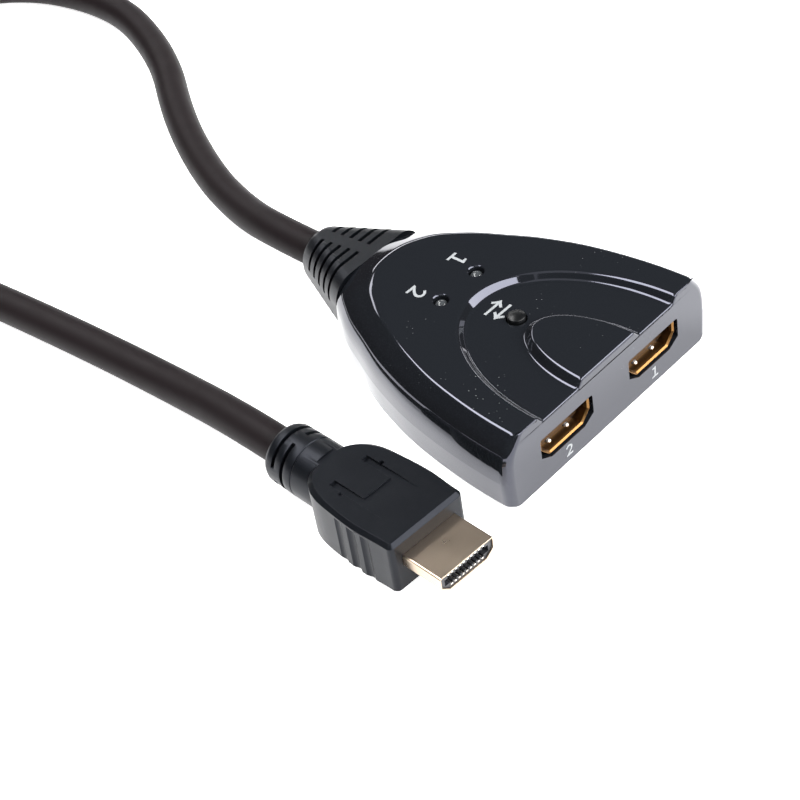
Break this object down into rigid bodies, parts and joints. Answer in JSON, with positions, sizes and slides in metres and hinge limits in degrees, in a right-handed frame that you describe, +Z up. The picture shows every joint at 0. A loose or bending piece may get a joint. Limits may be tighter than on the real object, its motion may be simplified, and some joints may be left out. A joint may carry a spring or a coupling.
{
  "type": "hdmi switch box",
  "caption": "Fan-shaped glossy black switch box with front video inputs, select button, lamps, ribbed strain relief and captive lead ending in a moulded video plug.",
  "frame": {"origin": "on the table under the middle of the box taken with its strain relief", "axes": "+Z up; the inputs face -Y and the lead leaves towards +Y; input 1 is on the +X side"},
  "size_m": [0.1113, 0.2649, 0.017],
  "materials": {
    "cover_gloss_abs": "high-gloss moulded ABS, near black",
    "shell_gloss_abs": "high-gloss moulded ABS, near black",
    "button_gloss_abs": "glossy moulded ABS, near black",
    "zinc_screw": "black zinc-plated steel",
    "board_laminate": "green solder mask on glass-fibre laminate",
    "chip_epoxy": "moulded black epoxy",
    "tinned_copper": "tinned copper",
    "capacitor_ceramic": "fired ceramic chip with tinned ends",
    "port_steel": "gold-flashed pressed steel",
    "port_nylon": "moulded black nylon",
    "contact_gold": "gold flash on phosphor bronze",
    "switch_nylon": "moulded nylon",
    "plunger_nylon": "moulded nylon",
    "dome_steel": "sprung stainless steel",
    "lamp_epoxy": "clear cast epoxy",
    "relief_pvc": "satin moulded soft PVC, near black",
    "lead_pvc": "smooth extruded PVC, near black with a soft gloss",
    "braid_tinned": "tinned copper braid",
    "wire_pvc": "thin coloured PVC insulation",
    "plug_gilt_steel": "pale gilt plating on pressed steel",
    "liner_nylon": "moulded black nylon",
    "contact_pale": "bright plated phosphor bronze",
    "hood_pvc": "satin moulded PVC, near black"
  },
  "bodies": {
    "housing": {"top_cover": "cover_gloss_abs", "bottom_shell": "shell_gloss_abs", "housing_screws": "zinc_screw", "circuit_board": "board_laminate", "switching_chip": "chip_epoxy", "chip_pins": "tinned_copper", "board_capacitors": "capacitor_ceramic", "input_1_shell": "port_steel", "input_1_insulator": "port_nylon", "input_1_contacts": "contact_gold", "input_2_shell": "port_steel", "input_2_insulator": "port_nylon", "input_2_contacts": "contact_gold", "switch_body": "switch_nylon", "switch_dome": "dome_steel", "switch_legs": "tinned_copper", "lamp_1": "lamp_epoxy", "lamp_2": "lamp_epoxy", "lamp_leads": "tinned_copper", "strain_relief": "relief_pvc", "lead_stub": "lead_pvc", "lead_braid": "braid_tinned", "lead_wires": "wire_pvc", "lead": "lead_pvc", "plug_shell": "plug_gilt_steel", "plug_liner": "liner_nylon", "plug_contacts": "contact_pale", "plug_hood": "hood_pvc", "plug_collar": "hood_pvc"},
    "button": {"select_button": "button_gloss_abs"},
    "plunger": {"switch_plunger": "plunger_nylon"}
  },
  "joints": [
    {"name": "select_press", "type": "slide", "parent": "housing", "child": "button", "axis": [0, 0, -1], "range_m": [0, 0.0005], "stiffness_N_per_m": 1500, "springref_m": -0.0006},
    {"name": "plunger_press", "type": "slide", "parent": "housing", "child": "plunger", "axis": [0, 0, -1], "range_m": [0, 0.0005], "deforming": ["switch_dome"]}
  ],
  "couplings": [
    {"joint": "plunger_press", "follows": "select_press", "ratio": 1}
  ]
}
